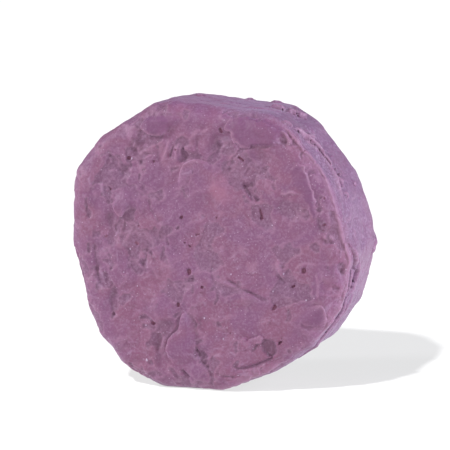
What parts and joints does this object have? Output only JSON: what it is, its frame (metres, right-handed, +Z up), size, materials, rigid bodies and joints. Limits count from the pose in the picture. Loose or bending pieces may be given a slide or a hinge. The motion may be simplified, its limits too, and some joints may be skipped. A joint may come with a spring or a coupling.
{
  "type": "rosin cake",
  "caption": "Hand-pressed cake of waxy rosin compound: a thick rounded disc with smears, folds and small pits, standing on a flat of its rim.",
  "frame": {"origin": "under the middle of the cake's box, on the plane of the flat it stands on", "axes": "+X across the face to the viewer's right, +Y from the worked front face to the plain back face, +Z up"},
  "size_m": [0.0488, 0.0208, 0.0477],
  "materials": {
    "rosin_compound": "waxy, hand-pressed, dull with a soft sheen on the raised smears",
    "mineral_grain": "dull crystalline grains"
  },
  "bodies": {
    "root": {"cake_lump": "rosin_compound", "upper_left_smear": "rosin_compound", "upper_right_smear": "rosin_compound", "centre_smear": "rosin_compound", "left_tab_smear": "rosin_compound", "lower_left_smear": "rosin_compound", "lower_scrap": "rosin_compound", "lower_right_smear": "rosin_compound", "right_strip_smear": "rosin_compound", "rim_lip": "rosin_compound", "bottom_fold": "rosin_compound", "side_ridge": "rosin_compound", "right_folds": "rosin_compound", "side_nodules": "rosin_compound", "crumb_strip": "rosin_compound", "rim_ear": "rosin_compound", "back_nodules": "rosin_compound", "white_grains": "mineral_grain"}
  },
  "joints": []
}
